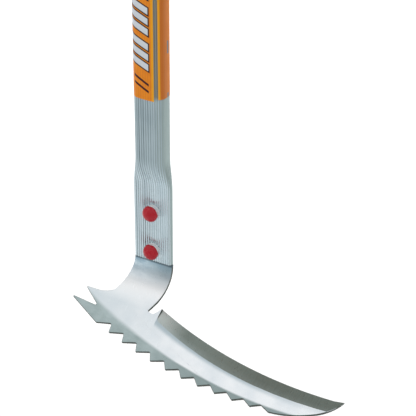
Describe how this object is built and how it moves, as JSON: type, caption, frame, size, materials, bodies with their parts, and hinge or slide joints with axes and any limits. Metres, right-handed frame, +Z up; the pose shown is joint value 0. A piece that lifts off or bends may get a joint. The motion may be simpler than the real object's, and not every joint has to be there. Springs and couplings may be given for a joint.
{
  "type": "long-handled sickle hoe",
  "caption": "Long-handled weeding sickle: bent steel blade with ground edge, saw teeth and a root fork, bolted into the flattened end of an aluminium tube handle.",
  "frame": {"origin": "centre of the hanging hole in the end cap at the top of the handle", "axes": "+Z up along the handle, -Y to the front where the nut caps are and the blade points forward, +X along the blade to its point"},
  "size_m": [0.2437, 0.0748, 1.1342],
  "materials": {
    "blade_steel": "satin ground steel with a brushed bevel",
    "handle_aluminium": "fluted extruded, satin",
    "printed_label": "glossy printed film",
    "black_rubber": "matt, grooved",
    "black_plastic": "moulded, fine grain",
    "fastener_zinc": "bright zinc plate",
    "red_plastic": "moulded, semi-gloss"
  },
  "bodies": {
    "root": {"blade": "blade_steel", "handle_tube": "handle_aluminium", "label": "printed_label", "grip_sleeve": "black_rubber", "end_cap": "black_plastic", "lower_bolt": "fastener_zinc", "lower_rear_washer": "fastener_zinc", "lower_front_washer": "fastener_zinc", "lower_spring_washer": "fastener_zinc", "lower_nut": "fastener_zinc", "lower_nut_cap": "red_plastic", "upper_bolt": "fastener_zinc", "upper_rear_washer": "fastener_zinc", "upper_front_washer": "fastener_zinc", "upper_spring_washer": "fastener_zinc", "upper_nut": "fastener_zinc", "upper_nut_cap": "red_plastic"}
  },
  "joints": []
}
